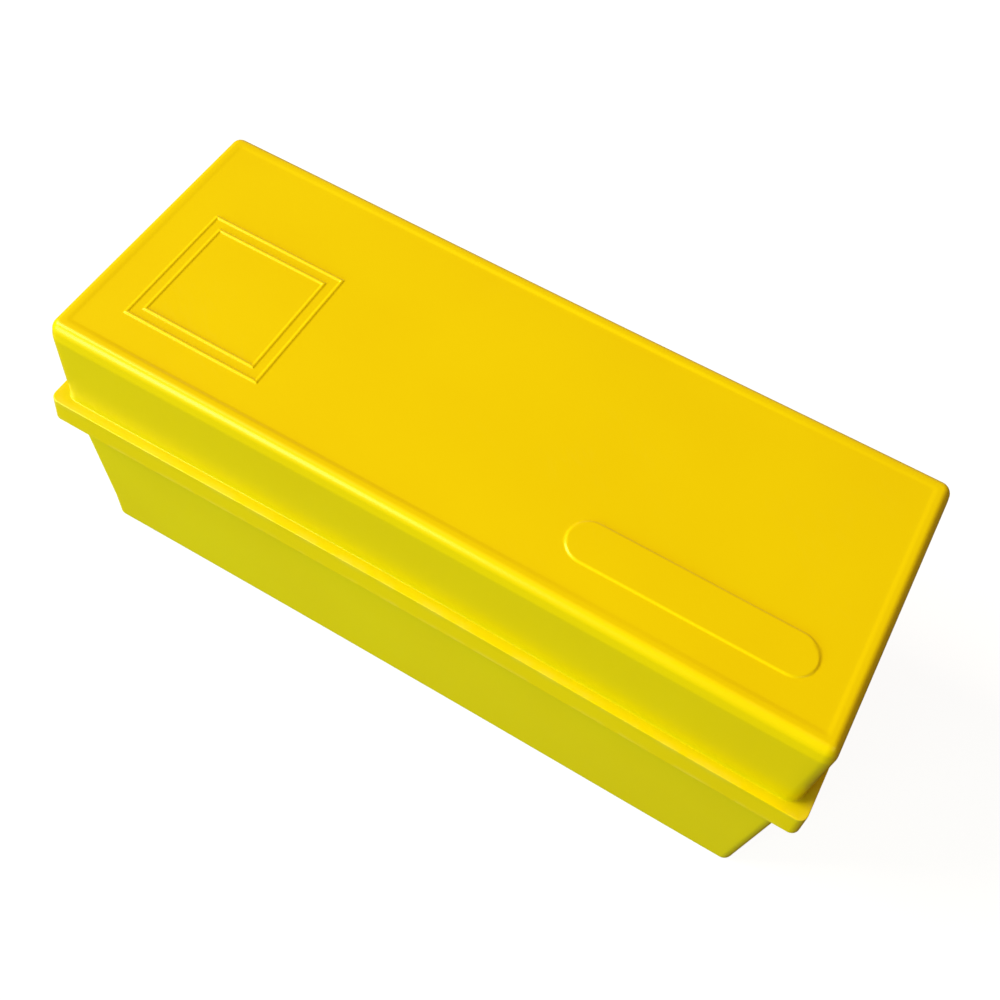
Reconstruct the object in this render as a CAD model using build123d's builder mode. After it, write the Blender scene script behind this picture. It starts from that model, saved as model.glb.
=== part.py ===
# A two-piece moulded storage case for strips of film negatives: an open
# tapered base, and a lift-off lid whose stepped skirt slips over the base's rim.
# Millimetres. +X is the long way, +Y points to the back and +Z up. The origin is
# on the surface that the case stands on, under the middle of the base.
from build123d import *
import os
from math import radians, tan

os.makedirs("parts", exist_ok=True)

# Overall sizes
lid_length = 178.4            # the long way across the top of the lid's wall, where its bevel starts
lid_width = 67.6              # the short way across the same line
lid_rise = 25.7               # from the skirt's shoulder up to the top of the rim
bevel_height = 4.6            # the steep bevel between the lid's wall and the top of the rim
skirt_height = 7.0            # the stepped-out band round the lid's lower edge
base_drop = 47.3              # the height of base wall that shows below the skirt

# Walls
lid_wall = 2.0
skirt_wall = 2.1
shoulder_thickness = 2.0      # the flat step that joins the lid wall to the skirt
panel_thickness = 2.2         # the lid's top, measured under the sunk panel
base_wall = 2.0
floor_thickness = 2.4         # the base's floor, measured over the foot recess

# Draft angles in degrees, which let each piece leave its mould
lid_draft = 1.5
bevel_lean = 11.0             # how far the bevel leans in from upright
skirt_draft = 3.4             # the skirt flares, so that it finds its way over the rim
base_draft = 1.8

# The fit of the lid on the base
skirt_clearance = 0.4         # the gap all round between the base's rim and the skirt

# Corners and edges
lid_corner_radius = 2.7       # upright corners of the lid, where its bevel starts
skirt_corner_radius = 2.2     # upright corners of the skirt, at its lower edge
base_corner_radius = 2.2      # upright corners of the base, at its underside
inside_corner_radius = 1.4    # upright corners inside both pieces
top_edge_radius = 2.2         # the rim's rounded outer edge
shoulder_fillet = 1.2         # the soft hollow where the lid wall meets the shoulder
base_edge_radius = 1.8        # the edge round the underside
inside_fillet = 1.0           # round the lid's ceiling and the base's floor
lip_radius = 0.4              # the small edges of the skirt and of the base's rim

# The rim round the sunk panel
rim_width = 3.2               # from the wall's line to where the inner slope starts
rim_slope = 1.3               # the width of the inner slope
rim_depth = 0.3               # how far the panel lies below the rim
panel_corner_radius = 0.8
rim_crest_radius = 1.2        # softens the top and the foot of the inner slope

# Two raised outlines, one inside the other, near the left end of the panel
frame_center_x = -60.5
frame_center_y = -6.1
frame_length = 33.8
frame_width = 32.5
frame_gap = 2.0               # clear space between the two outlines
frame_rib_width = 0.8
frame_rib_rise = 0.3

# A raised plain pad with round ends, near the panel's front right corner
pad_center_x = 53.0
pad_center_y = -18.6
pad_length = 52.8
pad_width = 9.8
pad_rise = 0.3
emboss_draft = 30.0           # the slope of every raised edge on the panel, in degrees

# The shallow recess under the base, which leaves a foot ring to stand on
foot_ring_width = 4.0
foot_recess_depth = 0.6
foot_recess_radius = 2.5

# Levels that follow from the sizes
shoulder_level = base_drop + skirt_height
seat_level = shoulder_level - shoulder_thickness
rim_level = shoulder_level + lid_rise
bevel_level = rim_level - bevel_height
panel_level = rim_level - rim_depth
ceiling_level = panel_level - panel_thickness
floor_level = foot_recess_depth + floor_thickness


def drift(height, draft):
    """How far a wall with this draft moves sideways over this height."""
    return height * tan(radians(draft))


def face_at(part, level):
    """The part's flat horizontal face that lies at this level."""
    return part.faces().filter_by(Plane.XY).sort_by(lambda face: abs(face.center().Z - level))[0]


# The base's rim is as large as the lid wall would be if it were carried down to the
# seat, so the two walls line up when the case is shut.
seat_growth = 2 * drift(bevel_level - seat_level, lid_draft)
rim_length = lid_length + seat_growth
rim_breadth = lid_width + seat_growth

# The base's outside narrows down to its foot, and its well keeps one wall thickness.
foot_shrink = 2 * drift(seat_level, base_draft)
foot_length = rim_length - foot_shrink
foot_breadth = rim_breadth - foot_shrink
well_change = 2 * drift(floor_level, base_draft) - 2 * base_wall

with BuildPart() as base:
    # The outside, flaring up to the rim
    with BuildSketch():
        RectangleRounded(foot_length, foot_breadth, base_corner_radius)
    extrude(amount=seat_level, taper=-base_draft)
    fillet(face_at(base, 0).edges(), radius=base_edge_radius)

    # The well, with a soft edge round its floor
    with BuildSketch(Plane.XY.offset(floor_level)):
        RectangleRounded(foot_length + well_change, foot_breadth + well_change, inside_corner_radius)
    extrude(amount=seat_level - floor_level, taper=-base_draft, mode=Mode.SUBTRACT)
    fillet(face_at(base, floor_level).edges(), radius=inside_fillet)

    # The rim's outer edge, rounded to lead the skirt on
    fillet(face_at(base, seat_level).outer_wire().edges(), radius=min(lip_radius, 0.4 * base_wall))

    # The recess that leaves a foot ring
    with BuildSketch():
        RectangleRounded(foot_length - 2 * foot_ring_width, foot_breadth - 2 * foot_ring_width, foot_recess_radius)
    extrude(amount=foot_recess_depth, taper=45, mode=Mode.SUBTRACT)

base.part.label = "base"
export_step(base.part, "parts/base.step")

# The skirt passes over the base's rim with the named clearance at the seat, and
# opens a little wider towards its mouth.
mouth_growth = 2 * (skirt_clearance + drift(skirt_height - shoulder_thickness, skirt_draft))
mouth_length = rim_length + mouth_growth
mouth_breadth = rim_breadth + mouth_growth
wall_growth = 2 * drift(bevel_level - shoulder_level, lid_draft)
ledge_width = skirt_clearance + skirt_wall

with BuildPart() as lid:
    # The skirt
    with BuildSketch(Plane.XY.offset(base_drop)):
        RectangleRounded(mouth_length + 2 * skirt_wall, mouth_breadth + 2 * skirt_wall, skirt_corner_radius)
    extrude(amount=skirt_height, taper=skirt_draft)

    # The wall above it, leaning in a little up to the bevel
    with BuildSketch(Plane.XY.offset(shoulder_level)):
        RectangleRounded(lid_length + wall_growth, lid_width + wall_growth, lid_corner_radius + wall_growth / 2)
    extrude(amount=bevel_level - shoulder_level, taper=lid_draft)

    # The bevel, and the rim's rounded outer edge above it
    with BuildSketch(Plane.XY.offset(bevel_level)):
        RectangleRounded(lid_length, lid_width, lid_corner_radius)
    extrude(amount=bevel_height, taper=bevel_lean)
    fillet(face_at(lid, rim_level).edges(), radius=top_edge_radius)

    # The soft hollow along the foot of the wall, and the skirt's crisp outer edges
    fillet(face_at(lid, shoulder_level).inner_wires().edges(), radius=min(shoulder_fillet, 0.8 * ledge_width))
    fillet(face_at(lid, shoulder_level).outer_wire().edges(), radius=min(lip_radius, 0.15 * ledge_width))

    # The sunk panel, with a slope all round that leaves the rim standing
    with BuildSketch(Plane.XY.offset(rim_level)):
        RectangleRounded(lid_length - 2 * rim_width, lid_width - 2 * rim_width, panel_corner_radius)
    with BuildSketch(Plane.XY.offset(panel_level)):
        RectangleRounded(
            lid_length - 2 * (rim_width + rim_slope),
            lid_width - 2 * (rim_width + rim_slope),
            panel_corner_radius,
        )
    loft(ruled=True, mode=Mode.SUBTRACT)
    fillet(face_at(lid, rim_level).inner_wires().edges(), radius=rim_crest_radius)
    fillet(face_at(lid, panel_level).edges(), radius=rim_crest_radius)

    # The two raised outlines
    inset = 0
    for outline in range(2):
        with BuildSketch(Plane.XY.offset(panel_level)):
            with Locations((frame_center_x, frame_center_y)):
                Rectangle(frame_length - 2 * inset, frame_width - 2 * inset)
                Rectangle(
                    frame_length - 2 * (inset + frame_rib_width),
                    frame_width - 2 * (inset + frame_rib_width),
                    mode=Mode.SUBTRACT,
                )
        extrude(amount=frame_rib_rise, taper=emboss_draft)
        inset += frame_rib_width + frame_gap

    # The raised pad
    with BuildSketch(Plane.XY.offset(panel_level)):
        with Locations((pad_center_x, pad_center_y)):
            SlotOverall(pad_length, pad_width)
    extrude(amount=pad_rise, taper=emboss_draft)

    # The room inside the skirt, up to the seat
    with BuildSketch(Plane.XY.offset(base_drop)):
        RectangleRounded(mouth_length, mouth_breadth, inside_corner_radius)
    extrude(amount=skirt_height - shoulder_thickness, taper=skirt_draft, mode=Mode.SUBTRACT)

    # The room inside the wall, from the seat up to the ceiling
    with BuildSketch(Plane.XY.offset(seat_level)):
        RectangleRounded(rim_length - 2 * lid_wall, rim_breadth - 2 * lid_wall, inside_corner_radius)
    extrude(amount=ceiling_level - seat_level, taper=lid_draft, mode=Mode.SUBTRACT)
    fillet(face_at(lid, ceiling_level).edges(), radius=inside_fillet)

lid.part.label = "lid"
export_step(lid.part, "parts/lid.step")

for piece in (base, lid):
    size = piece.part.bounding_box().size
    print(piece.part.label, "mm", round(size.X, 2), round(size.Y, 2), round(size.Z, 2))
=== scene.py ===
# %% [markdown]
# # A moulded storage case for film negatives
# The real case is two yellow plastic mouldings: an open base, and a lid whose
# stepped skirt slips over the base's rim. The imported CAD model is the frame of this
# scene. Every piece made here is in metres, and stands where its CAD node stands.

# %% Load the frame
import bpy
import bmesh
import numpy as np
from mathutils import Matrix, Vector
from math import cos, pi, radians, sin, tan


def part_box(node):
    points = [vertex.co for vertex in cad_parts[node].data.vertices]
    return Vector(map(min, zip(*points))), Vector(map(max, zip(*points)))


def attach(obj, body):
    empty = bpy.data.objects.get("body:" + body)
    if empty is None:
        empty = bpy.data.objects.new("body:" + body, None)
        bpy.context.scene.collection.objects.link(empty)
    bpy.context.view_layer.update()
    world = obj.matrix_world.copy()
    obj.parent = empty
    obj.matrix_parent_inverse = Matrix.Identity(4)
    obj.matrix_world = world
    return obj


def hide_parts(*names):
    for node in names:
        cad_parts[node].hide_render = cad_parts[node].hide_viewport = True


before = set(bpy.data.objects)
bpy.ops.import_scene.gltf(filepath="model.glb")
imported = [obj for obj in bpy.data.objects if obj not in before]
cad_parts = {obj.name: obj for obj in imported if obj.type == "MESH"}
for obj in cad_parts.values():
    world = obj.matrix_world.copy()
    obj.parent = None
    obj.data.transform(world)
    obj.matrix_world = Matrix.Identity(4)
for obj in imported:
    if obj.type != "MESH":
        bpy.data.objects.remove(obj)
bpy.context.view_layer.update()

# %% [markdown]
# ## The camera comes first
# The photograph was taken from close by, above the front and a little to the right,
# with the camera held askew. The case's edges were measured in it, and one
# perspective camera was fitted to them. So close to the case, the camera's distance
# matters as much as its angle. Turning it by hand until the picture fits would do
# too, but angles can be named, and three unit vectors follow from them.

# %% Where the camera stands
camera_azimuth = radians(23.13)        # how far round from the front, towards the right end
camera_elevation = radians(58.19)      # how far above the level
camera_roll = radians(7.97)
camera_distance = 0.3066
camera_target = np.array([-0.00733, 0.01648, 0.0267])

backwards = np.array([
    sin(camera_azimuth) * cos(camera_elevation),
    -cos(camera_azimuth) * cos(camera_elevation),
    sin(camera_elevation),
])
level_right = np.cross((0, 0, 1), backwards)
level_right /= np.linalg.norm(level_right)
level_up = np.cross(backwards, level_right)
camera_right = cos(camera_roll) * level_right + sin(camera_roll) * level_up
camera_up = cos(camera_roll) * level_up - sin(camera_roll) * level_right
camera_place = camera_target + camera_distance * backwards
print("camera at", np.round(camera_place, 3), "m")

# %% [markdown]
# A Blender camera looks along its own minus Z axis and has Y up, so the directions to
# the right, up and backwards are the columns of its matrix. The focal length was
# fitted in pixels. As a share of the picture's width it gives the lens in
# millimetres. The picture is cropped off centre, and a small lens shift says the same
# thing without turning the camera.

# %% Camera
focal_pixels = 1227.3
picture_pixels = 1000
optical_centre = (486.0, 464.3)        # in pixels from the photograph's top left corner


def add_object(name, data):
    """An object for this camera, mesh or lamp, linked into the scene."""
    thing = bpy.data.objects.new(name, data)
    bpy.context.scene.collection.objects.link(thing)
    return thing


def matrix_of(right, up, back, place):
    """A 4 by 4 matrix: its first three columns are the axes, and its last is the place."""
    matrix = np.eye(4)
    matrix[:3] = np.column_stack([right, up, back, place])
    return Matrix(matrix.tolist())


camera = add_object("camera", bpy.data.cameras.new("camera"))
camera.matrix_world = matrix_of(camera_right, camera_up, backwards, camera_place)
camera.data.sensor_width = 36.0
camera.data.lens = focal_pixels / picture_pixels * camera.data.sensor_width
camera.data.shift_x = 0.5 - optical_centre[0] / picture_pixels
camera.data.shift_y = optical_centre[1] / picture_pixels - 0.5
camera.data.clip_start = 0.01
bpy.context.scene.camera = camera
print("lens", round(camera.data.lens, 1), "mm")

# %% [markdown]
# ## Measures of the two mouldings
# The overall sizes are read from the frame, so the skins made here lie on the CAD
# solids. The small sizes are the ones that the mouldings were drawn with, but for the
# bevel at the top of the wall: it starts 0.4 mm higher here, and a wide soft bend
# leads into it.

# %% Levels
MM = 0.001
base_low, base_high = (np.array(corner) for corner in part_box("base"))
lid_low, lid_high = (np.array(corner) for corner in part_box("lid"))
foot_level = base_low[2]
seat_level = base_high[2]
skirt_low = lid_low[2]
rim_level = lid_high[2]

skirt_height = 7.0 * MM
bevel_height = 4.2 * MM
rim_depth = 0.3 * MM                   # how far the panel lies below the rim
panel_thickness = 2.2 * MM
floor_height = 3.0 * MM                # from the foot ring up to the floor of the well
shoulder_level = skirt_low + skirt_height
bevel_level = rim_level - bevel_height
panel_level = rim_level - rim_depth
ceiling_level = panel_level - panel_thickness
floor_level = foot_level + floor_height
print("seat", round(seat_level / MM, 2), "mm up, rim", round(rim_level / MM, 2), "mm up")

# %% [markdown]
# Every outline of such a box is the same rounded rectangle, grown or shrunk, so it is
# told by one number: how far it stands out from the line where the lid's bevel
# starts. A moulded wall leans a little, so that it leaves its mould, and stands out
# by its drop times the tangent of the lean.

# %% How far out the walls stand
lid_lean = radians(1.5)
bevel_lean = radians(11.0)
skirt_lean = radians(3.4)
base_lean = radians(1.8)
wall = 2.0 * MM
skirt_wall = 2.1 * MM
skirt_clearance = 0.4 * MM             # between the base's rim and the skirt, at the seat


def wall_out(level):
    """The lid's outer wall: the drop below the bevel times the tangent of the lean."""
    return (bevel_level - level) * tan(lid_lean)


def mouth_out(level):
    """The skirt's inner face: the clearance at the seat, and wider below by the flare."""
    return wall_out(seat_level) + skirt_clearance + (seat_level - level) * tan(skirt_lean)


def base_out(level):
    """The base's outer wall: the lid wall's line at the seat, and narrower below by the draft."""
    return wall_out(seat_level) - (seat_level - level) * tan(base_lean)


skirt_out = mouth_out(skirt_low) + skirt_wall
half_length = lid_high[0] - skirt_out
half_width = lid_high[1] - skirt_out
print("lid wall", round(2000 * half_length, 2), "by", round(2000 * half_width, 2), "mm at its bevel")

# %% [markdown]
# ## The lid's section
# The lid could be a box with a Bevel modifier, but a bevel gives every edge one
# radius. Here the section through the lid is drawn once, as points of (distance out,
# level), and later carried round the box. It starts at the sunk panel, with a short
# slope up to the rim. The light on the real slope changes softly, without a crease,
# so the slope is a smooth step with level ends.

# %% Slope round the panel
def smooth_step(share):
    """3 s^2 - 2 s^3: climbs from 0 to 1 with level ends."""
    share = np.clip(share, 0, 1)
    return share * share * (3 - 2 * share)


slope_end = -3.05 * MM                 # where the slope reaches the rim
slope_width = 1.3 * MM
slope_start = slope_end - slope_width
slope_shares = np.linspace(0, 1, 11)
slope = np.column_stack([
    slope_start + slope_width * slope_shares,
    panel_level + rim_depth * smooth_step(slope_shares),
])
print("slope from", round(slope_start / MM, 2), "to", round(slope_end / MM, 2), "mm out")

# %% [markdown]
# The rim's outer edge is a tight turn at the top that goes over into a wider one half
# way down. Two arcs do that without a crease if they have one direction where they
# meet, so both centres lie on one line through that point. A third arc, wider still,
# bends the steep bevel into the leaning wall.

# %% Rolled edge and bevel
def arc(centre_out, centre_level, radius, start, end, steps):
    """Points on a circle: centre + radius * (cos t, sin t), with t from start to end in degrees."""
    turn = np.radians(np.linspace(start, end, steps + 1))
    return np.column_stack([centre_out + radius * np.cos(turn), centre_level + radius * np.sin(turn)])


def facing(angle):
    """The unit vector (cos, sin) of an angle above the level, in radians."""
    return np.array([cos(angle), sin(angle)])


crest_radius = 1.6 * MM
edge_radius = 3.4 * MM
half_way = 45                          # the direction where the two turns meet, in degrees
edge_level = rim_level - crest_radius + (crest_radius - edge_radius) * sin(radians(half_way))
edge_out = -(edge_level - bevel_level) * tan(bevel_lean) - edge_radius / cos(bevel_lean)
crest_out = edge_out + (edge_radius - crest_radius) * cos(radians(half_way))
rounded_edge = np.concatenate([
    arc(crest_out, rim_level - crest_radius, crest_radius, 90, half_way, 8),
    arc(edge_out, edge_level, edge_radius, half_way, np.degrees(bevel_lean), 10)[1:],
])

bend_radius = 6.0 * MM
bend_reach = bend_radius * tan((bevel_lean - lid_lean) / 2)
bend_start = np.array([-sin(bevel_lean), cos(bevel_lean)]) * bend_reach + (0, bevel_level)
bend_centre = bend_start - bend_radius * facing(bevel_lean)
bend = arc(*bend_centre, bend_radius, np.degrees(bevel_lean), np.degrees(lid_lean), 5)
print("flat rim from", round(slope_end / MM, 2), "to", round(crest_out / MM, 2), "mm out")

# %% [markdown]
# Above the ledge the wall sweeps out in a long shallow curve, and then turns through
# a tight hollow on to the ledge, which slopes down a little to the skirt's edge. The
# stretches are placed from the skirt's edge backwards. How long the ledge is follows
# from one equation: the sweep has to start on the wall's own line.

# %% Sweep, hollow and ledge
sweep_radius = 14.0 * MM
sweep_end = radians(10.0)              # how far the wall leans where the hollow begins
hollow_radius = 0.2 * MM
ledge_slope = radians(1.5)
lip_radius = 0.22 * MM                 # the skirt's outer edges
skirt_top_out = skirt_out - skirt_height * tan(skirt_lean)
ledge_normal = np.array([sin(ledge_slope), cos(ledge_slope)])
ledge_end = np.array([skirt_top_out, shoulder_level]) - lip_radius + lip_radius * ledge_normal
sweep_turn = sweep_radius * (facing(lid_lean) - facing(sweep_end))
hollow_turn = hollow_radius * (facing(sweep_end) - ledge_normal)
turns = hollow_turn + sweep_turn

# With no ledge the sweep would start this far outside the wall, and every millimetre
# of ledge brings it nearer by the cosine of the slope, less what the wall's lean takes back.
outside_wall = (ledge_end - turns)[0] - wall_out((ledge_end - turns)[1])
ledge_length = outside_wall / (cos(ledge_slope) - sin(ledge_slope) * tan(lid_lean))
ledge_start = ledge_end + ledge_length * np.array([-cos(ledge_slope), sin(ledge_slope)])
sweep_start = ledge_start - turns
sweep_centre = sweep_start + sweep_radius * facing(lid_lean)
sweep = arc(*sweep_centre, sweep_radius, 180 + np.degrees(lid_lean), 180 + np.degrees(sweep_end), 10)
hollow_centre = sweep[-1] + hollow_radius * facing(sweep_end)
hollow = arc(
    *hollow_centre, hollow_radius, 180 + np.degrees(sweep_end), 270 - np.degrees(ledge_slope), 8)
print("ledge", round(ledge_length / MM, 2), "mm, sweep from",
      round((sweep_start[1] - shoulder_level) / MM, 2), "mm up")

# %% [markdown]
# Below the ledge the skirt flares out and passes over the base's rim. Inside it the
# section comes back up to the seat, where the rim rests, and on to the ceiling. Each
# of these edges is one arc, placed by its centre.

# %% Edges of the skirt and the inside
inner_lip_radius = 0.2 * MM
ceiling_radius = 1.0 * MM

skirt_lip = arc(
    skirt_top_out - lip_radius, shoulder_level - lip_radius,
    lip_radius, 90 - np.degrees(ledge_slope), 0, 6)
mouth_lip = arc(skirt_out - lip_radius, skirt_low + lip_radius, lip_radius, 0, -90, 6)
inner_lip = arc(
    mouth_out(skirt_low) + inner_lip_radius, skirt_low + inner_lip_radius,
    inner_lip_radius, -90, -180, 3)
seat = np.array([mouth_out(seat_level), seat_level])
step_edge = arc(
    wall_out(seat_level) - wall + inner_lip_radius, seat_level + inner_lip_radius,
    inner_lip_radius, -90, -180, 3)
ceiling_out = wall_out(ceiling_level) - wall - ceiling_radius
ceiling_edge = arc(ceiling_out, ceiling_level - ceiling_radius, ceiling_radius, 0, 90, 6)
print("seat", round((seat[0] - step_edge[-1, 0]) / MM, 2), "mm wide")

# %% [markdown]
# Straight stretches join the arcs. Smooth shading spreads a turn over the faces on
# both sides of it, and on a long flat face that shows as a false bulge. So a straight
# stretch has a point close to each end: two narrow faces take the turn, and what lies
# between them stays flat.

# %% Straight stretches between the edges
def line(start, end, margin, steps=1):
    """Points at shares of the way from start to end. The first and last are the margin away from the
    ends, or three tenths of the way where that is less."""
    start = np.array(start)
    end = np.array(end)
    near = min(margin / np.linalg.norm(end - start), 0.3)
    shares = np.concatenate([[near], np.linspace(near, 1 - near, steps + 1)[1:-1], [1 - near]])
    return start + shares[:, None] * (end - start)


outside = np.concatenate([
    slope,
    rounded_edge,
    line(rounded_edge[-1], bend[0], margin=0.2 * MM),
    bend,
    line(bend[-1], sweep[0], margin=0.5 * MM, steps=5),
    sweep,
    hollow[1:],
])
ledge = np.concatenate([line(hollow[-1], skirt_lip[0], margin=0.06 * MM), skirt_lip])
skirt = np.concatenate([line(skirt_lip[-1], mouth_lip[0], margin=0.15 * MM, steps=3), mouth_lip])
mouth = np.concatenate([line(mouth_lip[-1], inner_lip[0], margin=0.15 * MM), inner_lip])
inside = np.concatenate([
    line(inner_lip[-1], seat, margin=0.15 * MM, steps=2),
    [seat],
    line(seat, step_edge[0], margin=0.1 * MM),
    step_edge,
    line(step_edge[-1], ceiling_edge[0], margin=0.3 * MM, steps=4),
])
print("outside of the lid:", len(outside), "points, inside:", len(inside), "points")

# %% [markdown]
# The upright corners of the box aren't rounded alike at every height: nearly square
# round the panel, and widest on the wall. So each point of the section also holds the
# corner radius of its own outline. Parallel outlines differ in radius by the distance
# between them, and the rest are blended.

# %% Corner radius of every point
def with_radius(points, radius):
    """Adds a third column, the corner radius that the outline has at each point."""
    return np.column_stack([points, np.broadcast_to(radius, len(points))])


def radius_between(points, first, last):
    """Adds the third column too: the radius goes evenly from first to last with the distance out."""
    out = points[:, 0]
    return with_radius(points, first + (last - first) * (out - out[0]) / (out[-1] - out[0]))


corner_radius = 2.7 * MM               # where the bevel starts
panel_corner_radius = 0.8 * MM
skirt_radius = 2.0 * MM
inside_radius = 1.4 * MM
ceiling_corner_radius = 0.5 * MM
grid_margin = 0.8 * MM                 # a flat band between the panel's grid and the foot of the slope

# The wall's own radius plus the distance out, joined by hypot to the small radius of the panel
grown_radius = np.hypot(panel_corner_radius, np.maximum(corner_radius + outside[:, 0], 0))
ceiling_radii = np.linspace(inside_radius, ceiling_corner_radius, len(ceiling_edge))
lid_section = np.concatenate([
    [[slope_start - grid_margin, panel_level, 0.0]],
    with_radius(outside, grown_radius),
    radius_between(ledge, grown_radius[-1], skirt_radius),
    with_radius(skirt, skirt_radius),
    radius_between(mouth, skirt_radius, inside_radius),
    with_radius(inside, inside_radius),
    with_radius(ceiling_edge, ceiling_radii),
])
print("whole section of the lid:", len(lid_section), "points")

# %% [markdown]
# ## The sunk panel
# The panel carries two raised outlines, one in the other, and a plain raised pad with
# round ends. They could be separate strips laid on a flat face, but on the real lid
# they are one skin with it. So the panel is a height worked out over a grid of x and
# y. The grid's lines crowd where a raised edge passes and spread out elsewhere, which
# keeps the edges crisp and the mesh light.

# %% Grid lines that crowd at marks
def crowded_lines(half_size, marks, coarse):
    """Lines from -half_size to half_size. How many lie below x is the integral of 1 / spacing, and the
    spacing is fine within a reach of each mark (place, reach, spacing) and coarse elsewhere."""
    x = np.linspace(-half_size, half_size, 20001)
    place, reach, spacing = np.array(marks).T
    nearness = np.exp(-(np.abs(x[None] - place[:, None]) / reach[:, None]) ** 6)
    density = (1 / coarse) + ((1 / spacing - 1 / coarse)[:, None] * nearness).max(axis=0)
    below = np.concatenate([[0], np.cumsum((density[1:] + density[:-1]) / 2 * np.diff(x))])
    count = int(round(below[-1])) + 1
    return np.interp(np.linspace(0, below[-1], count), below, x)


trial = np.diff(crowded_lines(10 * MM, [(0.0, MM, 0.1 * MM)], 2.5 * MM))
print("a trial with one mark:", np.round([trial.min() / MM, trial.max() / MM], 2), "mm apart")

# %% [markdown]
# Next come the sizes of the raised shapes, and the marks that they make. Each rib of
# the two outlines is one mark. The pad has its two sides, the round stretches at its
# ends, and a wide mild mark over its middle.

# %% The panel's grid
frame_centre = np.array([-60.5, -6.1]) * MM
frame_half = np.array([33.8, 32.5]) / 2 * MM
rib_width = 0.8 * MM
rib_gap = 2.0 * MM
pad_centre = np.array([53.0, -18.6]) * MM
pad_half = np.array([52.8, 9.8]) / 2 * MM
pad_end_inset = 2.4 * MM               # from the pad's end to the middle of its round stretch
panel_half = np.array([half_length, half_width]) + slope_start - grid_margin

rib_insets = np.array([rib_width / 2, rib_width * 1.5 + rib_gap])
rib_lines = [frame_centre[:, None] + sign * (frame_half[:, None] - rib_insets) for sign in (-1, 1)]
rib_lines = np.concatenate(rib_lines, axis=1)
rib_marks = [[(place, 0.8 * MM, 0.12 * MM) for place in row] for row in rib_lines]
pad_end = pad_half[0] - pad_end_inset
end_marks = [(pad_centre[0] + sign * pad_end, 3.2 * MM, 0.22 * MM) for sign in (-1, 1)]
side_marks = [(pad_centre[1] + sign * pad_half[1], 1.2 * MM, 0.16 * MM) for sign in (-1, 1)]
middle_mark = (pad_centre[1], pad_half[1], 0.5 * MM)
lines_x = crowded_lines(panel_half[0], rib_marks[0] + end_marks, 2.5 * MM)
lines_y = crowded_lines(panel_half[1], rib_marks[1] + side_marks + [middle_mark], 2.5 * MM)
print("panel grid", len(lines_x), "by", len(lines_y))

# %% [markdown]
# The raised edges are soft steps of a distance. The distance to a rectangle is the
# larger of the distances to its two pairs of sides, and the distance to the pad is
# measured from its middle line. On the real lid the ribs across it are lower than the
# ones along it, so the rise changes over at the corners.

# %% Heights of the raised shapes
rib_rise = 0.26 * MM                   # of the ribs that run along the lid
cross_rise = 0.17 * MM                 # of the ribs that run across it
rib_flank = 0.38 * MM
rib_spread = 0.1 * MM                  # how far a rib's foot reaches past its width
rise_change = 1.5 * MM                 # how much of a corner it takes to change the rise
pad_rise = 0.3 * MM
pad_flank = 0.45 * MM
pad_spread = 0.3                       # the share of the pad's flank that lies outside its outline


def rib_height(distance):
    """A rounded ridge of height 1 across a line: a smooth step of how far inside the rib a point is."""
    return smooth_step((rib_width / 2 + rib_spread - np.abs(distance)) / rib_flank)


def raised_height(x, y):
    """The higher of the ridges along two rectangles and of a pad with round ends."""
    to_ends = np.abs(x - frame_centre[0]) - frame_half[0]
    to_sides = np.abs(y - frame_centre[1]) - frame_half[1]
    to_outline = np.maximum(to_ends, to_sides)
    rise = cross_rise + (rib_rise - cross_rise) * smooth_step(0.5 + (to_sides - to_ends) / rise_change)
    ridges = rise * (rib_height(to_outline + rib_insets[0]) + rib_height(to_outline + rib_insets[1]))
    beyond_middle = np.maximum(np.abs(x - pad_centre[0]) - (pad_half[0] - pad_half[1]), 0)
    to_pad = np.hypot(beyond_middle, y - pad_centre[1]) - pad_half[1]
    pad = pad_rise * smooth_step(pad_spread - to_pad / pad_flank)
    return np.maximum(ridges, pad)


print("pad raised by", round(raised_height(*pad_centre) / MM, 2), "mm at its middle")

# %% [markdown]
# No moulding is quite true. Towards the top, this lid's right end and back stand a
# little further out than its left end and front, and its panel isn't sunk equally
# deep all round. A random dent would not match the photograph, so both are read from
# it: the growth is a share of x or y, and the depth a blend of two rows of values.

# %% A lid that isn't quite true
right_growth = 0.33 * MM
back_growth = 0.30 * MM
front_places = (-1, -0.7, -0.1, 0.5, 0.8, 1)     # x over half the length, along the front
front_depths = (0.22, 1.10, 0.70, 0.25, 0.48, 0.33)
back_places = (-1, -0.7, -0.2, 0.3, 0.7, 1)
back_depths = (0.20, 0.42, 0.80, 0.75, 0.32, 0.33)


def grown_top(points):
    """Moves the lid's right end and back outwards in proportion to x and to y: nothing at the shoulder,
    and the full amount from the bevel up."""
    x, y, z = np.moveaxis(points, -1, 0)
    share = np.clip((z - shoulder_level) / (bevel_level - shoulder_level), 0, 1)
    x = x + share * right_growth * np.maximum(x, 0) / half_length
    y = y + share * back_growth * np.maximum(y, 0) / half_width
    return np.stack([x, y, z], axis=-1)


def depth_share(x, y):
    """How deep the panel lies here, as a share of rim_depth: read along x from the front's values and
    from the back's, and blended between them with a smooth step in y."""
    front = np.interp(x / half_length, front_places, front_depths)
    back = np.interp(x / half_length, back_places, back_depths)
    return front + (back - front) * smooth_step((y / half_width + 1) / 2)


def sunk(points):
    """Points of the panel or its slope, with their depth below the rim multiplied by depth_share."""
    x, y, z = np.moveaxis(points, -1, 0)
    return np.stack([x, y, rim_level - (rim_level - z) * depth_share(x, y)], axis=-1)


print("panel sunk by", round(rim_depth * depth_share(0, -half_width) / MM, 2), "mm at mid front")

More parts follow.
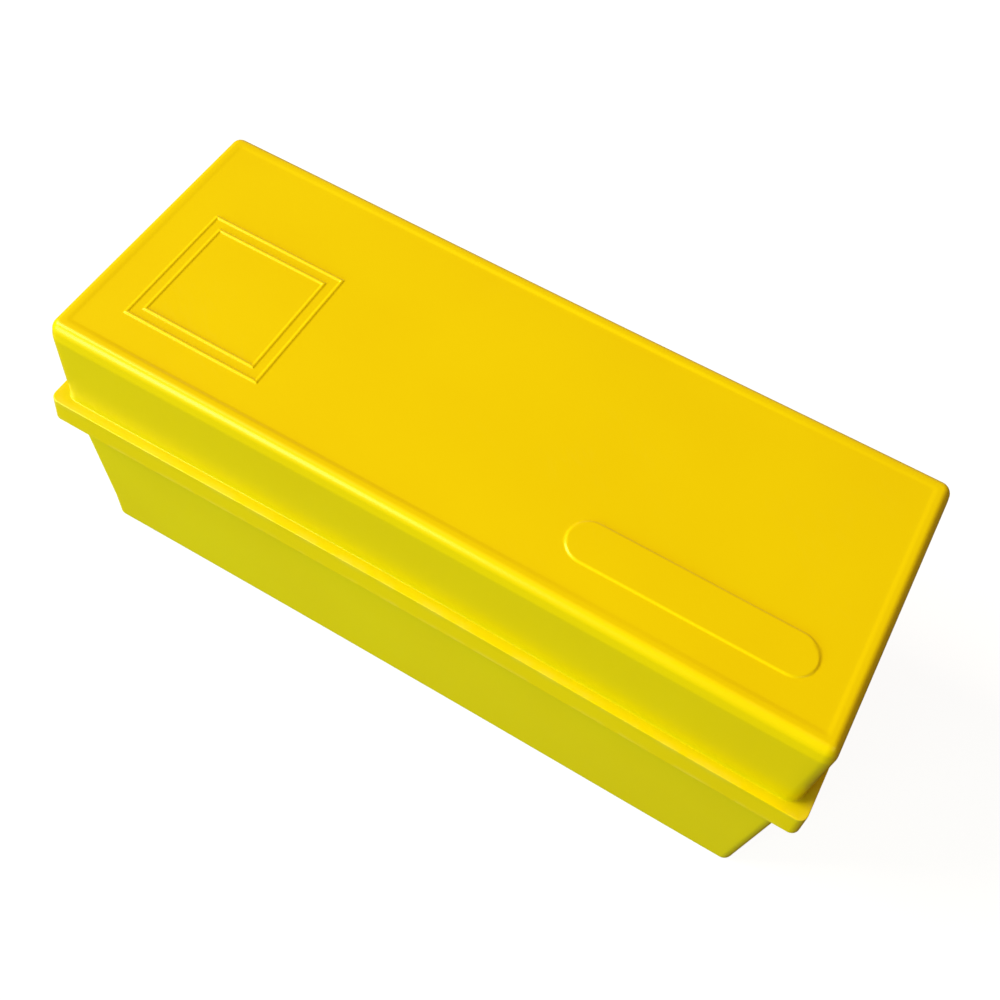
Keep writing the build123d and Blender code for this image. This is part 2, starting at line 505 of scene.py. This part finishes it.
# %% [markdown]
# A cooled panel is never flat either. A few long low waves bend its reflections, as
# they do on the real lid. They could be a noise, but a sum of sine waves has a slope
# that changes evenly, and it can be faded out exactly at the panel's edge.

# %% Waves from cooling
# Each wave's height, its length along x and along y in millimetres, and its start in radians
long_waves = (
    (0.060, 92, 210, 0.6),
    (0.045, 61, -74, 2.1),
    (0.035, 180, 43, 4.0),
)


def cooling_waves(x, y):
    """The sum of height * sin(2 pi (x / length_x + y / length_y) + start), faded out towards the panel's
    edge by 1 - (x / border)^6 and the same in y."""
    waves = sum(
        height * np.sin(2 * pi * (x / length_x + y / length_y) / MM + start)
        for height, length_x, length_y, start in long_waves)
    border_x = np.where(x > 0, panel_half[0] * (1 + right_growth / half_length), panel_half[0])
    border_y = np.where(y > 0, panel_half[1] * (1 + back_growth / half_width), panel_half[1])
    fade = (1 - (x / border_x) ** 6) * (1 - (y / border_y) ** 6)
    return MM * waves * fade


wave_row = cooling_waves(lines_x, 0 * lines_x)
print("waves along the middle:", np.round([wave_row.min() / MM, wave_row.max() / MM], 2), "mm")

# %% [markdown]
# Now the panel can be worked out as a grid of points. It starts flat, grows with the
# top of the lid, is sunk by its share, and then gets its raised shapes and its waves.

# %% The panel's points
x, y = np.meshgrid(lines_x, lines_y, indexing="ij")
panel = sunk(grown_top(np.stack([x, y, np.full_like(x, panel_level)], axis=-1)))
x, y, z = np.moveaxis(panel, -1, 0)    # views: what is added to z is added to the panel
z += raised_height(x, y) + cooling_waves(x, y)
print("panel height from", round(z.min() / MM, 2), "to", round(z.max() / MM, 2), "mm")

# %% [markdown]
# ## Carrying the section round the box
# Every point of the section travels round its own rounded rectangle, and all the
# rings have the same stations, so the skin is a plain grid of quads. Along a straight
# side a station is a share of the side's length, and round a corner it is an angle.
# Writing both as one table of four numbers lets a whole skin be computed as sums of
# products. Along the lid's sides the stations are the ends of the panel's grid lines.

# %% Stations round the box
def stations(shares_x, shares_y, corner_steps=10):
    """Rows of (side x, side y, turn x, turn y): a point is side * (half size - radius) + turn * radius.
    They go anticlockwise as seen from above, starting at the left end of the front side."""
    corner = np.radians(np.linspace(0, 90, corner_steps + 1))[1:-1] - pi / 2
    rows = []
    for quarter in range(4):
        shares = (shares_x, shares_y)[quarter % 2]
        shares = shares if quarter < 2 else -shares[::-1]
        ones = np.ones(len(shares))
        straight = np.column_stack([shares, -ones, np.zeros(len(shares)), -ones])
        ones = np.ones(len(corner))
        bend_rows = np.column_stack([ones, -ones, np.cos(corner), np.sin(corner)])
        part = np.concatenate([straight, bend_rows])
        along = round(cos(quarter * pi / 2))
        across = round(sin(quarter * pi / 2))
        spin = np.array([[along, across], [-across, along]])
        rows.append(np.hstack([part[:, :2] @ spin, part[:, 2:] @ spin]))
    return np.concatenate(rows)


lid_stations = stations(lines_x / panel_half[0], lines_y / panel_half[1])
print(len(lid_stations), "stations round the lid")

# %% [markdown]
# Long thin walls are drawn in a little as the plastic cools, so the long sides also
# get a shallow bow that fades out at the corners. Its depth changes with the level,
# because the rim holds the top straighter.

# %% The lid's skin
skirt_bow = 0.60 * MM
shoulder_bow = 0.65 * MM
top_bow = 0.25 * MM


def carried_skin(section, table, bow):
    """Points of the section at every station: side * (half size + out - radius) + turn * radius.
    The long sides are then drawn in by bow * (1 - share^2)^2."""
    out, level, radius = section.T
    side_x, side_y, turn_x, turn_y = table.T
    x = np.outer(half_length + out - radius, side_x) + np.outer(radius, turn_x)
    y = np.outer(half_width + out - radius, side_y) + np.outer(radius, turn_y)
    y -= np.outer(bow, np.where(turn_x == 0, side_y * (1 - side_x ** 2) ** 2, 0))
    z = np.repeat(level[:, None], len(table), axis=1)
    return np.stack([x, y, z], axis=-1)


lid_bow = np.interp(
    lid_section[:, 1], [skirt_low, shoulder_level, rim_level], [skirt_bow, shoulder_bow, top_bow])
lid_bow[0] = 0                         # the first ring is the panel grid's edge, which is straight
lid_skin = grown_top(carried_skin(lid_section, lid_stations, lid_bow))
sunk_rings = len(slope) + 1            # the grid's edge and the slope
lid_skin[:sunk_rings] = sunk(lid_skin[:sunk_rings])
ring_count, station_count = lid_skin.shape[:2]
print("lid skin:", ring_count, "rings of", station_count, "points")

# %% [markdown]
# Wear shows first on the edges that stand out. The hollow over the ledge gets painted
# shade: a darker, duller yellow that stands in for the light the wall keeps from it.
# Both could be painted by hand, but the section already knows where they are: how
# sharply it bends outwards at a point, and how near it lies to the hollow. The mesh
# will carry these two values for the material to read.

# %% Wear and painted shade on the lid
def edge_sharpness(section, reach=0.5 * MM):
    """For each point, the turn of the section to the right (outwards) within a short reach of it,
    as a share of a right angle. A section that bends inwards there gives 0."""
    steps = np.diff(section[:, :2], axis=0)
    travelled = np.concatenate([[0], np.cumsum(np.linalg.norm(steps, axis=1))])
    heading = np.unwrap(np.arctan2(steps[:, 1], steps[:, 0]))
    heading = np.concatenate([heading, heading[-1:]])
    before = np.interp(travelled - reach, travelled, heading)
    after = np.interp(travelled + reach, travelled, heading)
    return np.clip((before - after) / (pi / 2), 0, 1)


def hollow_nearness(section, place, reach=1.7 * MM):
    """exp(-(distance / reach)^2), with the distance measured in the section from the hollow's middle."""
    return np.exp(-(np.linalg.norm(section[:, :2] - place, axis=1) / reach) ** 2)


lid_sharpness = edge_sharpness(lid_section)
lid_nearness = hollow_nearness(lid_section, hollow_centre)
print((lid_sharpness > 0.5).sum(), "points on sharp edges,", (lid_nearness > 0.5).sum(), "near the hollow")

# %% [markdown]
# ## Joining the skins into one closed mesh
# The outer points of the panel's grid lie on the first ring, point for point, so
# merging by distance closes the seam. The ceiling is flat and needs one face only.
# A closed skin whose faces point outwards holds a positive volume, and that is
# printed as a test.

# %% Building a closed mesh
def ring_faces(rings, count):
    """Quads between neighbouring rings, closed round the last station."""
    ring = np.arange(rings - 1)[:, None] * count
    here = np.arange(count)[None, :]
    after = (here + 1) % count
    quads = [ring + here, ring + count + here, ring + count + after, ring + after]
    return np.stack(quads, axis=-1).reshape(-1, 4)


def closed_mesh(name, points, quads, caps, sharpness, nearness):
    """A mesh from points, a grid's quads and flat end caps, merged by distance and shaded smooth. Each
    point keeps its sharpness as the attribute edge, and its nearness as the attribute hollow."""
    mesh = bpy.data.meshes.new(name)
    mesh.from_pydata(points.tolist(), [], quads.tolist() + [cap.tolist() for cap in caps])
    for label, values in (("edge", sharpness), ("hollow", nearness)):
        attribute = mesh.attributes.new(label, "FLOAT", "POINT")
        attribute.data.foreach_set("value", values.astype(np.float32))
    shell = bmesh.new()
    shell.from_mesh(mesh)
    bmesh.ops.remove_doubles(shell, verts=shell.verts, dist=1e-7)
    open_edges = sum(not edge.is_manifold for edge in shell.edges)
    volume = shell.calc_volume(signed=True)
    shell.to_mesh(mesh)
    shell.free()
    mesh.polygons.foreach_set("use_smooth", np.ones(len(mesh.polygons), dtype=bool))
    mesh.update()
    print(name, len(mesh.polygons), "faces,", open_edges, "open edges,", round(volume * 1e6, 2), "cm3")
    return add_object(name, mesh)


print("quads in a ring:", len(ring_faces(2, station_count)))

# %% [markdown]
# The lid is its skin, the panel's grid and one face for the ceiling. It stands for the
# CAD node of its name, whose own mesh is hidden, and moves with the lid's body. Its
# plastic is given further down.

# %% The lid's mesh
corner = np.arange(len(lines_x) - 1)[:, None] * len(lines_y) + np.arange(len(lines_y) - 1)[None]
panel_quads = np.stack([corner, corner + len(lines_y), corner + len(lines_y) + 1, corner + 1], axis=-1)
panel_quads = panel_quads.reshape(-1, 4) + ring_count * station_count
panel_zeros = np.zeros(len(lines_x) * len(lines_y))
lid = closed_mesh(
    "lid_moulding",
    np.concatenate([lid_skin.reshape(-1, 3), panel.reshape(-1, 3)]),
    np.concatenate([ring_faces(ring_count, station_count), panel_quads]),
    [np.arange(station_count)[::-1] + (ring_count - 1) * station_count],
    np.concatenate([np.repeat(lid_sharpness, station_count), panel_zeros]),
    np.concatenate([np.repeat(lid_nearness, station_count), panel_zeros]),
)
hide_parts("lid")
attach(lid, "lid")

# %% [markdown]
# ## The base
# The base is made the same way. Its section starts on the floor of the well, climbs
# the inner wall, crosses the rim, comes down the outside, turns under the foot ring
# and ends in the shallow recess below.

# %% Base section
floor_radius = 1.0 * MM
foot_radius = 1.8 * MM
rim_lip = 0.4 * MM
foot_ring = 4.0 * MM
recess_depth = 0.6 * MM
recess_flat = 1.0 * MM                 # the last stretch, before the one face that closes the recess

# Corner radii of the outlines
outer_radius = 2.3 * MM
foot_corner_radius = 0.6 * MM
ring_corner_radius = 0.7 * MM
recess_corner_radius = 3.0 * MM

rim_out = base_out(seat_level)
foot_out = base_out(foot_level)
floor_edge = arc(
    base_out(floor_level) - wall - floor_radius, floor_level + floor_radius, floor_radius, -90, 0, 6)
inner_rim = arc(
    rim_out - wall + inner_lip_radius, seat_level - inner_lip_radius, inner_lip_radius, 180, 90, 3)
outer_rim = arc(rim_out - rim_lip, seat_level - rim_lip, rim_lip, 90, 0, 5)
foot_edge = arc(foot_out - foot_radius, foot_level + foot_radius, foot_radius, 0, -90, 14)
recess_start = np.array([foot_out - foot_ring, foot_level])
recess_end = recess_start + (-recess_depth, recess_depth)

well = np.concatenate([floor_edge, line(floor_edge[-1], inner_rim[0], margin=0.3 * MM, steps=5)])
rim = np.concatenate([inner_rim, line(inner_rim[-1], outer_rim[0], margin=0.1 * MM), outer_rim])
underside = np.concatenate([
    line(foot_edge[-1], recess_start, margin=0.15 * MM),
    [recess_start],
    line(recess_start, recess_end, margin=0.05 * MM),
    [recess_end],
    line(recess_end, recess_end - (recess_flat, 0), margin=0.1 * MM),
])
base_section = np.concatenate([
    with_radius(well, inside_radius),
    radius_between(rim, inside_radius, outer_radius),
    with_radius(line(outer_rim[-1], foot_edge[0], margin=0.3 * MM, steps=6), outer_radius),
    radius_between(foot_edge, outer_radius, foot_corner_radius),
    radius_between(underside, ring_corner_radius, recess_corner_radius),
])
print("whole section of the base:", len(base_section), "points")

# %% [markdown]
# The base isn't quite true either. Both its ends stand a little further in than on
# the CAD solid, the left one only above the foot. The box narrows towards its right
# end, and widens as much close to its left end. Each of these is a small shift of x
# or factor on y, and grows with the distance from the middle.

# %% Base skin and mesh
foot_bow = 0.30 * MM
seat_bow = 0.62 * MM
left_trim = 0.86 * MM
right_trim = 0.15 * MM
narrowing = 0.006
foot_share = 1 / 8                     # of the base's height, over which the left trim comes in


def trimmed(points):
    """Moves x inwards by left_trim or right_trim times the share of the way to that end, the left one
    faded in over the foot. Scales y by 1 - narrowing * (share to the right - share to the left ^ 6)."""
    x, y, z = np.moveaxis(points, -1, 0)
    to_left = np.maximum(-x, 0) / half_length
    to_right = np.maximum(x, 0) / half_length
    climb = (z - foot_level) / (seat_level - foot_level)
    return np.stack([
        x + left_trim * to_left * smooth_step(climb / foot_share) - right_trim * to_right,
        y * (1 - narrowing * (to_right - to_left ** 6)),
        z,
    ], axis=-1)


eased_shares = np.sin(np.linspace(-pi / 2, pi / 2, 33))     # closer together towards the corners
base_stations = stations(eased_shares, eased_shares)
base_bow = np.interp(base_section[:, 1], [foot_level, seat_level], [foot_bow, seat_bow])
base_skin = trimmed(carried_skin(base_section, base_stations, base_bow))
base_rings, base_count = base_skin.shape[:2]
base = closed_mesh(
    "base_moulding",
    base_skin.reshape(-1, 3),
    ring_faces(base_rings, base_count),
    [np.arange(base_count), np.arange(base_count)[::-1] + (base_rings - 1) * base_count],
    np.repeat(edge_sharpness(base_section), base_count),
    np.zeros(base_rings * base_count),
)
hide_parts("base")
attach(base, "base")

# %% [markdown]
# ## Yellow moulded plastic
# The finish is one bright yellow plastic with a satin skin. A single flat colour
# would look like a computer model. The real surface has a fine grain from the mould,
# slow waves where it cooled, a colour that flows a little, and marks of handling.
# Each of these is a node group, built once and placed in the lid's material and in
# the base's with their own values.

# %% Building a node group
def new_group(name, inputs, outputs):
    """An empty shader node group with named inputs (name, kind, value) and outputs (name, kind)."""
    group = bpy.data.node_groups.new(name, "ShaderNodeTree")
    for label, kind, value in inputs:
        socket = group.interface.new_socket(label, in_out="INPUT", socket_type="NodeSocket" + kind)
        if value is not None:
            socket.default_value = value
    for label, kind in outputs:
        group.interface.new_socket(label, in_out="OUTPUT", socket_type="NodeSocket" + kind)
    return group, group.nodes.new("NodeGroupInput"), group.nodes.new("NodeGroupOutput")


def plug(tree, source, target):
    """Links an output socket to an input socket, or writes a plain value into the input."""
    if isinstance(source, bpy.types.NodeSocket):
        tree.links.new(source, target)
    else:
        target.default_value = source


def maths(tree, operation, first, second=0.0):
    """One Math node: first and second, sockets or numbers, put together by the operation."""
    node = tree.nodes.new("ShaderNodeMath")
    node.operation = operation
    plug(tree, first, node.inputs[0])
    plug(tree, second, node.inputs[1])
    return node.outputs[0]


# %% [markdown]
# The mould's grain is two noises, one under half a millimetre wide and one about a
# millimetre and a half. The slow waves are a third, about two centimetres wide. They
# add up to one height in millimetres, which a Bump node in the material turns into a
# slope.

# %% Group: grain of the mould
def noise(tree, place, scale, detail=2.0, roughness=0.5):
    """A Noise texture read at the given place, with features about 1 / scale metres wide."""
    node = tree.nodes.new("ShaderNodeTexNoise")
    node.inputs["Scale"].default_value = scale
    node.inputs["Detail"].default_value = detail
    node.inputs["Roughness"].default_value = roughness
    plug(tree, place, node.inputs["Vector"])
    return node.outputs[0]


grain, group_in, group_out = new_group(
    "mould_grain",
    [("Place", "Vector", None), ("Grain", "Float", 0.004), ("Ripple", "Float", 0.02)],
    [("Height", "Float")],
)
skin_noise = noise(grain, group_in.outputs["Place"], scale=2600, detail=1.0)
pebble_noise = noise(grain, group_in.outputs["Place"], scale=620)
ripple_noise = noise(grain, group_in.outputs["Place"], scale=55, detail=1.0)
both_noises = maths(grain, "ADD", skin_noise, pebble_noise)
fine_part = maths(grain, "MULTIPLY", both_noises, group_in.outputs["Grain"])
slow_part = maths(grain, "MULTIPLY", ripple_noise, group_in.outputs["Ripple"])
plug(grain, maths(grain, "ADD", fine_part, slow_part), group_out.inputs["Height"])
print("grain of", len(grain.nodes), "nodes")

# %% [markdown]
# Pigment doesn't mix perfectly into a plastic, so the colour drifts by a few percent
# over some centimetres. The group mixes the given colour towards a slightly deeper
# neighbour, by a slow noise.

# %% Group: flow of the colour
def ramp(tree, value, low, high):
    """Smoothly 0 below low and 1 above high."""
    node = tree.nodes.new("ShaderNodeMapRange")
    node.interpolation_type = "SMOOTHSTEP"
    plug(tree, value, node.inputs["Value"])
    plug(tree, low, node.inputs["From Min"])
    plug(tree, high, node.inputs["From Max"])
    return node.outputs["Result"]


def blend(tree, factor, first, second):
    """One Mix node between two colours: first + factor * (second - first)."""
    node = tree.nodes.new("ShaderNodeMix")
    node.data_type = "RGBA"
    plug(tree, factor, node.inputs["Factor"])
    plug(tree, first, node.inputs["A"])
    plug(tree, second, node.inputs["B"])
    return node.outputs["Result"]


flow, group_in, group_out = new_group(
    "colour_flow",
    [("Place", "Vector", None), ("Colour", "Color", (0.8, 0.6, 0.0, 1)),
     ("Deeper", "Color", (0.8, 0.5, 0.0, 1)), ("Drift", "Float", 0.3)],
    [("Colour", "Color")],
)
drift_noise = noise(flow, group_in.outputs["Place"], scale=24, detail=3.0, roughness=0.6)
drift_share = maths(flow, "MULTIPLY", ramp(flow, drift_noise, 0.3, 0.7), group_in.outputs["Drift"])
drifted = blend(flow, drift_share, group_in.outputs["Colour"], group_in.outputs["Deeper"])
plug(flow, drifted, group_out.inputs["Colour"])
print("flow of", len(flow.nodes), "nodes")

# %% [markdown]
# Handling leaves faint hairline scuffs. They could be thin curves laid on the
# surface, but they need no shape of their own: a hairline is where a noise, drawn out
# long in one direction, crosses its middle value. Two directions are crossed, and a
# wider noise keeps the scuffs to the places that are rubbed.

# %% Group: marks of handling, scuffs
def mapped(tree, place, label, value):
    """A Mapping node that turns or stretches a place before a texture reads it."""
    node = tree.nodes.new("ShaderNodeMapping")
    node.inputs[label].default_value = value
    plug(tree, place, node.inputs["Vector"])
    return node.outputs[0]


marks, group_in, group_out = new_group(
    "handling_marks",
    [("Place", "Vector", None), ("Scuffing", "Float", 0.3), ("Specks", "Float", 0.02)],
    [("Scuffs", "Float"), ("Specks", "Float")],
)
hairlines = None
for turn_degrees, stretch in ((24, (1.0, 14.0, 14.0)), (-38, (14.0, 1.0, 14.0))):
    turned = mapped(marks, group_in.outputs["Place"], "Rotation", (0, 0, radians(turn_degrees)))
    strands = noise(marks, mapped(marks, turned, "Scale", stretch), scale=34, roughness=0.6)
    off_middle = maths(marks, "ABSOLUTE", maths(marks, "SUBTRACT", strands, 0.5))
    strand = maths(marks, "SUBTRACT", 1.0, ramp(marks, off_middle, 0.004, 0.016))
    hairlines = strand if hairlines is None else maths(marks, "MAXIMUM", hairlines, strand)
rubbed_places = ramp(marks, noise(marks, group_in.outputs["Place"], scale=30), 0.52, 0.72)
rubbed_lines = maths(marks, "MULTIPLY", hairlines, rubbed_places)
scuffs = maths(marks, "MULTIPLY", rubbed_lines, group_in.outputs["Scuffing"])
plug(marks, scuffs, group_out.inputs["Scuffs"])
print("scuffs of", len(marks.nodes), "nodes")

# %% [markdown]
# The few specks of dirt are the hearts of Voronoi cells, some eight millimetres
# apart. Each cell has its own random colour, and only the cells whose red is lower
# than the given share show their speck.

# %% Group: marks of handling, specks
cells = marks.nodes.new("ShaderNodeTexVoronoi")
cells.inputs["Scale"].default_value = 130
plug(marks, group_in.outputs["Place"], cells.inputs["Vector"])
cell_value = marks.nodes.new("ShaderNodeSeparateColor")
plug(marks, cells.outputs["Color"], cell_value.inputs[0])
picked = maths(marks, "LESS_THAN", cell_value.outputs["Red"], group_in.outputs["Specks"])
heart = maths(marks, "SUBTRACT", 1.0, ramp(marks, cells.outputs["Distance"], 0.015, 0.05))
plug(marks, maths(marks, "MULTIPLY", picked, heart), group_out.inputs["Specks"])
print("with specks", len(marks.nodes), "nodes")

# %% [markdown]
# Wear starts on the edges that stand out. The mesh carries that as its own attribute,
# and the group breaks it up with noise, so that an edge is rubbed in places only.

# %% Group: worn edges
worn, group_in, group_out = new_group(
    "edge_wear",
    [("Place", "Vector", None), ("Edge", "Float", 0.0), ("Amount", "Float", 0.4)],
    [("Wear", "Float")],
)
edge_noise = noise(worn, group_in.outputs["Place"], scale=160, detail=4.0, roughness=0.65)
broken = ramp(worn, edge_noise, 0.42, 0.62)
exposed = ramp(worn, group_in.outputs["Edge"], 0.25, 0.9)
worn_places = maths(worn, "MULTIPLY", broken, exposed)
plug(worn, maths(worn, "MULTIPLY", worn_places, group_in.outputs["Amount"]), group_out.inputs["Wear"])
print("node groups:", ", ".join(sorted(group.name for group in bpy.data.node_groups)))

# %% [markdown]
# The material mixes these into colour, roughness and bump. The colour flows, is paler
# where an edge or a hairline is rubbed and brown in a speck, and is darkened towards
# the hollow over the ledge as painted shade, for the light that the wall keeps from it.
# Rubbed places are also rougher. What is the same all over, such as the tint of the
# gloss, is set on the shader's own sockets. The tint keeps the broad soft reflections
# yellow, as they are on a strongly coloured plastic.

# %% Material
lid_yellow = (0.90, 0.68, 0.0, 1)
# Painted light: the base's yellow is lighter than the lid's, standing in for the light that a white floor
# would throw back on to its walls
base_yellow_painted_lighter = (0.97, 0.76, 0.0, 1)
deepening = (0.98, 0.94, 1, 1)         # what the deeper neighbour keeps of red, green and blue
rubbed_yellow = (0.87, 0.70, 0.12, 1)
speck_brown = (0.28, 0.19, 0.02, 1)
# Painted shade: the darker yellow that the hollow over the ledge is blended towards, where the wall keeps
# light off
painted_shade_yellow = (0.57, 0.52, 0.0, 1)
painted_shade_share = 0.6                     # how much of it the hollow itself takes
gloss_tint = (1, 0.95, 0.42, 1)
satin = 0.3                            # the roughness of the untouched skin
rubbed_roughness = 0.2                 # what rubbing adds to it


def place_group(tree, group, **values):
    """One Group node, with each named input linked to a socket or set to a value."""
    node = tree.nodes.new("ShaderNodeGroup")
    node.node_tree = group
    for label, value in values.items():
        plug(tree, value, node.inputs[label])
    return node.outputs


def carried_value(tree, name):
    """The value that the mesh carries at each point as an attribute of this name."""
    node = tree.nodes.new("ShaderNodeAttribute")
    node.attribute_name = name
    return node.outputs["Fac"]


def moulded_plastic(name, yellow, drift, scuffing, specks, wear):
    """Yellow plastic: flowing colour, then rubbed edges and hairlines, specks and the painted shade of the
    hollow over it, each blended in by its mask. Roughness is satin + rubbed * rubbed_roughness."""
    material = bpy.data.materials.new(name)
    material.use_nodes = True
    tree = material.node_tree
    shader = tree.nodes["Principled BSDF"]
    shader.inputs["Specular IOR Level"].default_value = 0.5
    shader.inputs["Specular Tint"].default_value = gloss_tint
    place = tree.nodes.new("ShaderNodeTexCoord").outputs["Object"]

    handled = place_group(tree, marks, Place=place, Scuffing=scuffing, Specks=specks)
    edge = carried_value(tree, "edge")
    worn_edge = place_group(tree, worn, Place=place, Edge=edge, Amount=wear)
    deeper = [value * kept for value, kept in zip(yellow, deepening)]
    flowing = place_group(tree, flow, Place=place, Colour=yellow, Deeper=deeper, Drift=drift)
    rubbed = maths(tree, "MAXIMUM", worn_edge["Wear"], handled["Scuffs"])
    colour = blend(tree, rubbed, flowing["Colour"], rubbed_yellow)
    colour = blend(tree, handled["Specks"], colour, speck_brown)
    # Painted shade, darkening the colour towards the hollow over the ledge
    painted_hollow_shade = maths(tree, "MULTIPLY", carried_value(tree, "hollow"), painted_shade_share)
    plug(tree, blend(tree, painted_hollow_shade, colour, painted_shade_yellow), shader.inputs["Base Color"])

    roughness = maths(tree, "ADD", satin, maths(tree, "MULTIPLY", rubbed, rubbed_roughness))
    plug(tree, roughness, shader.inputs["Roughness"])
    bump = tree.nodes.new("ShaderNodeBump")
    bump.inputs["Strength"].default_value = 1.0
    bump.inputs["Distance"].default_value = MM
    plug(tree, place_group(tree, grain, Place=place)["Height"], bump.inputs["Height"])
    plug(tree, bump.outputs[0], shader.inputs["Normal"])
    return material


lid.data.materials.append(moulded_plastic(
    "lid_plastic", lid_yellow, drift=0.5, scuffing=0.025, specks=0.006, wear=0.25))
base.data.materials.append(moulded_plastic(
    "base_plastic", base_yellow_painted_lighter, drift=0.6, scuffing=0.03, specks=0.006, wear=0.25))
print("materials:", ", ".join(piece.data.materials[0].name for piece in (lid, base)))

# %% [markdown]
# ## The floor
# The photograph is cut out on white. A white floor would look like that, but it would
# also throw light back on to the walls and wash out their colour. The Light Path node
# tells the camera's rays from the rest: for the camera the floor glows nearly white,
# with a little of the light and shadow that fall on it, and for the rest it is dark.

# %% Floor
floor_half = 3.0
floor_gap = 0.05 * MM                  # a hair below the foot ring, so the two don't share a plane
unseen_grey = (0.07, 0.07, 0.07, 1)
seen_grey = (0.18, 0.18, 0.18, 1)
floor_glow = 0.92

floor_mesh = bpy.data.meshes.new("floor")
floor_corners = np.array([(-1, -1, 0), (1, -1, 0), (1, 1, 0), (-1, 1, 0)]) * floor_half
floor_corners[:, 2] = foot_level - floor_gap
floor_mesh.from_pydata(floor_corners.tolist(), [], [(0, 1, 2, 3)])
floor = add_object("floor", floor_mesh)
floor_material = bpy.data.materials.new("white_floor")
floor_material.use_nodes = True
tree = floor_material.node_tree
shader = tree.nodes["Principled BSDF"]
shader.inputs["Roughness"].default_value = 0.9
shader.inputs["Specular IOR Level"].default_value = 0.0
seen = tree.nodes.new("ShaderNodeLightPath").outputs["Is Camera Ray"]
plug(tree, blend(tree, seen, unseen_grey, seen_grey), shader.inputs["Base Color"])
shader.inputs["Emission Color"].default_value = (1, 1, 1, 1)
plug(tree, maths(tree, "MULTIPLY", seen, floor_glow), shader.inputs["Emission Strength"])
floor_mesh.materials.append(floor_material)
print("floor", round(floor_gap / MM, 2), "mm under the foot")

# %% [markdown]
# ## Lamps
# The real highlights are broad and soft, so the lamps are large area lamps, and not
# points or a sun. One far to the left and high up gives most of the light. Two cooler
# ones light the front from low on the left, and a weak one at the back and one at the
# right keep those sides from going dark. A lamp shines along its own minus Z axis, as
# a camera looks, so it is aimed with the same kind of matrix.

# %% Lamps
def softbox(name, place, aim, size, power, colour):
    """An area lamp at a place, turned to face the aim point: its back is the direction away from it."""
    lamp = bpy.data.lights.new(name, "AREA")
    lamp.shape = "RECTANGLE"
    lamp.size, lamp.size_y = size
    lamp.energy = power
    lamp.color = colour
    back = np.array(place, dtype=float) - np.array(aim)
    back /= np.linalg.norm(back)
    right = np.cross((0, 0, 1), back)
    right /= np.linalg.norm(right)
    add_object(name, lamp).matrix_world = matrix_of(right, np.cross(back, right), back, place)
    print(name, round(power, 1), "W")


warm = (1.0, 0.92, 0.75)
cool = (0.68, 1.0, 0.80)
golden = (1.0, 0.86, 0.50)
softbox("top_left_window", (-2.1, -0.66, 2.04), (0, 0, 0.04), (1.4, 1.4), 101.0, warm)
softbox("low_left_window", (-0.42, -1.0, 0.26), (0, 0, 0.05), (0.42, 0.36), 4.8, cool)
softbox("front_left_window", (-1.3, -1.7, 0.45), (0, 0, 0.04), (1.2, 0.6), 14.5, cool)
softbox("back_window", (-0.4, 1.9, 0.55), (0, 0, 0.04), (2.0, 1.0), 3.2, warm)
softbox("right_window", (1.7, -0.5, 0.94), (0, 0, 0.04), (1.2, 1.0), 7.5, golden)

# %% [markdown]
# ## World and view
# The world fills the shadows. For the camera's rays it is white, like the floor, and
# for the rest a dim amber, as in a room with warm walls. The Standard view keeps the
# colours as they are worked out, so they can be compared with the photograph's.

# %% World
amber = (1.0, 0.56, 0.40)
fill_strength = 0.15
dim_amber = [fill_strength * value for value in amber]

world = bpy.data.worlds.new("studio")
world.use_nodes = True
tree = world.node_tree
seen = tree.nodes.new("ShaderNodeLightPath").outputs["Is Camera Ray"]
background = tree.nodes["Background"]
plug(tree, blend(tree, seen, (*dim_amber, 1), (1, 1, 1, 1)), background.inputs["Color"])
background.inputs["Strength"].default_value = 1.0
bpy.context.scene.world = world
bpy.context.scene.view_settings.view_transform = "Standard"
print("world", world.name, "with a fill of", fill_strength)
